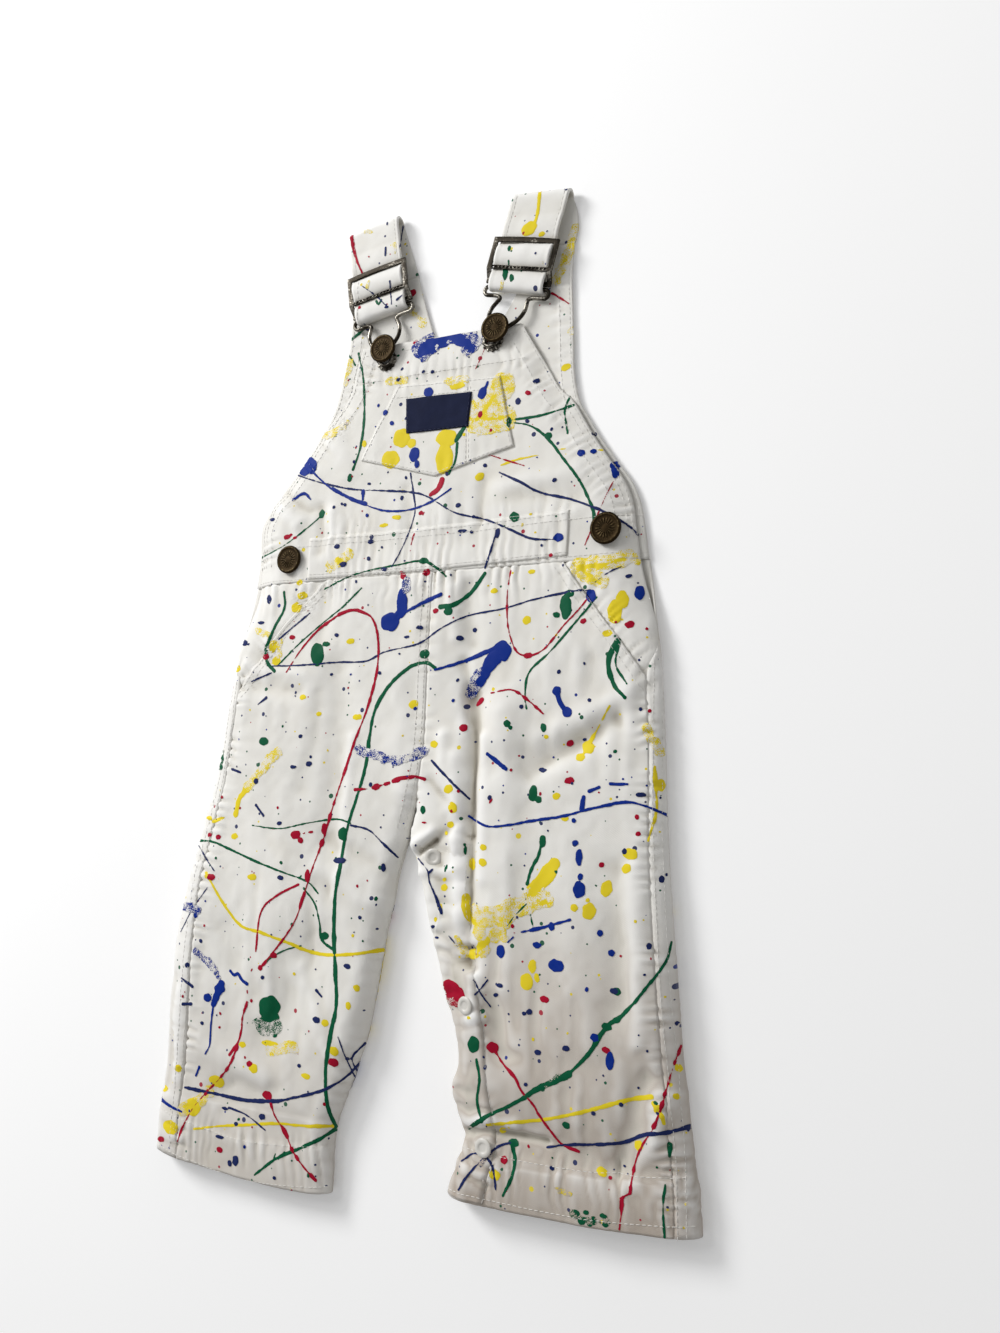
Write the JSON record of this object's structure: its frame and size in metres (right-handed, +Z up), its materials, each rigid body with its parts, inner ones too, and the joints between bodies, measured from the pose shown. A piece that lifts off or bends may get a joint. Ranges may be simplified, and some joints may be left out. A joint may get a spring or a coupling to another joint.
{
  "type": "paint spattered overalls",
  "caption": "White cotton bib overalls for a toddler, laid flat on their back and spattered with paint, with bib pocket, slanted hip pockets, side buttons, leg snaps and hooked shoulder straps.",
  "frame": {"origin": "under the middle of the bounding box, on the surface that the overalls lie on", "axes": "+X across the garment towards the right side as seen from above, +Y up its length from the hems to the shoulders, +Z up from the surface that it lies on"},
  "size_m": [0.3272, 0.56, 0.02],
  "materials": {
    "white_drill": "off-white cotton drill, matte, with small puckers along its seams, spattered with blue, red, yellow and green paint",
    "navy_label": "closely woven navy ribbon, matte, bare",
    "aged_brass": "antique brass plate, dark in its hollows and worn brighter on its rims",
    "snap_plastic": "moulded white plastic, smooth"
  },
  "bodies": {
    "root": {"back_panel_left": "white_drill", "back_panel_right": "white_drill", "back_yoke_left": "white_drill", "back_yoke_right": "white_drill", "bib": "white_drill", "bib_button_left": "aged_brass", "bib_button_right": "aged_brass", "bib_label": "navy_label", "bib_pocket": "white_drill", "front_panel_left": "white_drill", "front_panel_right": "white_drill", "hook_left": "aged_brass", "hook_right": "aged_brass", "pocket_facing_left": "white_drill", "pocket_facing_right": "white_drill", "slider_left": "aged_brass", "slider_right": "aged_brass", "snap_lower": "snap_plastic", "snap_placket": "white_drill", "snap_upper": "snap_plastic", "strap_left": "white_drill", "strap_right": "white_drill", "waist_button_left": "aged_brass", "waist_button_right": "aged_brass", "waistband": "white_drill"}
  },
  "joints": []
}
